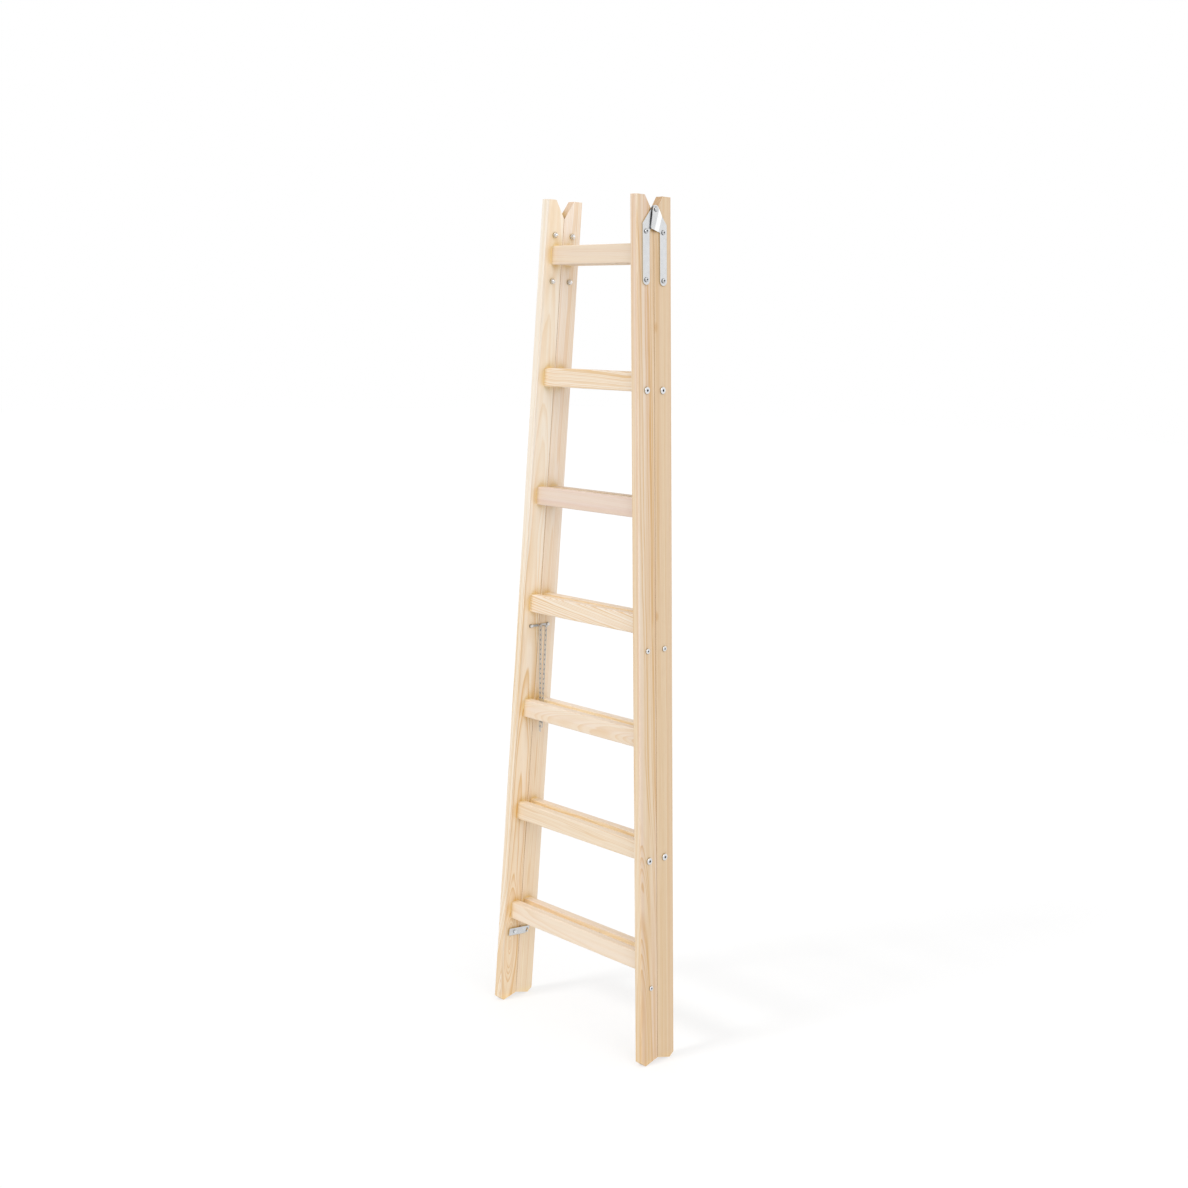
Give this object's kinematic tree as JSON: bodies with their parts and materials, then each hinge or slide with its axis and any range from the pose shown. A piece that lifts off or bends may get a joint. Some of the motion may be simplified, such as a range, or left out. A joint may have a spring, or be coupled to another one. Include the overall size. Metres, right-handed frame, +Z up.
{
  "type": "wooden double ladder",
  "caption": "Folding wooden double ladder: two tapered pine frames with flat rungs, joined by steel hinges at the top, with stay chains and hook latches.",
  "frame": {"origin": "on the floor, midway across the ladder, on the plane where the folded frames meet", "axes": "+Z up the ladder, +X across it to the right seen from the front frame, +Y from the front frame to the rear frame"},
  "size_m": [0.557, 0.116, 2.11],
  "materials": {
    "pine_stile": "planed bare pine",
    "pine_rung": "planed bare pine",
    "zinc_steel": "bright zinc plating"
  },
  "bodies": {
    "front_frame": {"front_stile_left": "pine_stile", "front_stile_right": "pine_stile", "front_rung_1": "pine_rung", "front_rung_2": "pine_rung", "front_rung_3": "pine_rung", "front_rung_4": "pine_rung", "front_rung_5": "pine_rung", "front_rung_6": "pine_rung", "front_rung_7": "pine_rung", "front_tie_rods": "zinc_steel", "front_tie_rod_nuts": "zinc_steel", "front_hinge_leaf_left": "zinc_steel", "front_hinge_leaf_right": "zinc_steel", "front_hinge_bolts": "zinc_steel", "front_hinge_nuts": "zinc_steel", "front_chain_bolts": "zinc_steel", "front_chain_nuts": "zinc_steel", "front_chain_tabs": "zinc_steel", "hinge_rivet_left": "zinc_steel", "hinge_rivet_right": "zinc_steel", "latch_bolts": "zinc_steel", "latch_spacers": "zinc_steel", "latch_nuts": "zinc_steel"},
    "rear_frame": {"rear_stile_left": "pine_stile", "rear_stile_right": "pine_stile", "rear_rung_1": "pine_rung", "rear_rung_2": "pine_rung", "rear_rung_3": "pine_rung", "rear_rung_4": "pine_rung", "rear_rung_5": "pine_rung", "rear_rung_6": "pine_rung", "rear_rung_7": "pine_rung", "rear_tie_rods": "zinc_steel", "rear_tie_rod_nuts": "zinc_steel", "rear_hinge_leaf_left": "zinc_steel", "rear_hinge_leaf_right": "zinc_steel", "rear_hinge_bolts": "zinc_steel", "rear_hinge_nuts": "zinc_steel", "rear_chain_bolts": "zinc_steel", "rear_chain_nuts": "zinc_steel", "rear_chain_tabs": "zinc_steel", "latch_pins": "zinc_steel"},
    "latch_left": {"latch_left": "zinc_steel"},
    "front_chain_left": {"front_chain_left": "zinc_steel"},
    "rear_chain_left": {"rear_chain_left": "zinc_steel"},
    "latch_right": {"latch_right": "zinc_steel"},
    "front_chain_right": {"front_chain_right": "zinc_steel"},
    "rear_chain_right": {"rear_chain_right": "zinc_steel"}
  },
  "joints": [
    {"name": "opening", "type": "hinge", "parent": "front_frame", "child": "rear_frame", "pos_m": [0, 0, 2.078], "axis": [1, 0, 0], "range_deg": [0, 30]},
    {"name": "latch_left_swing", "type": "hinge", "parent": "front_frame", "child": "latch_left", "pos_m": [-0.24682, -0.023, 0.1935], "axis": [0.9985, 0, -0.0551], "range_deg": [-7.5, 30]},
    {"name": "front_chain_left_swing", "type": "hinge", "parent": "front_frame", "child": "front_chain_left", "pos_m": [-0.18835, -0.005, 1.035], "axis": [1, 0, 0], "range_deg": [0, 103.64]},
    {"name": "rear_chain_left_swing", "type": "hinge", "parent": "rear_frame", "child": "rear_chain_left", "pos_m": [-0.17835, 0.005, 1.035], "axis": [1, 0, 0], "range_deg": [-103.64, 0]},
    {"name": "latch_right_swing", "type": "hinge", "parent": "front_frame", "child": "latch_right", "pos_m": [0.24682, -0.023, 0.1935], "axis": [0.9985, 0, 0.0551], "range_deg": [-7.5, 30]},
    {"name": "front_chain_right_swing", "type": "hinge", "parent": "front_frame", "child": "front_chain_right", "pos_m": [0.18835, -0.005, 1.035], "axis": [1, 0, 0], "range_deg": [0, 103.64]},
    {"name": "rear_chain_right_swing", "type": "hinge", "parent": "rear_frame", "child": "rear_chain_right", "pos_m": [0.17835, 0.005, 1.035], "axis": [1, 0, 0], "range_deg": [-103.64, 0]}
  ],
  "couplings": [
    {"joint": "front_chain_left_swing", "follows": "opening", "ratio": 3.4513},
    {"joint": "rear_chain_left_swing", "follows": "opening", "ratio": -3.4513},
    {"joint": "front_chain_right_swing", "follows": "opening", "ratio": 3.4513},
    {"joint": "rear_chain_right_swing", "follows": "opening", "ratio": -3.4513}
  ]
}
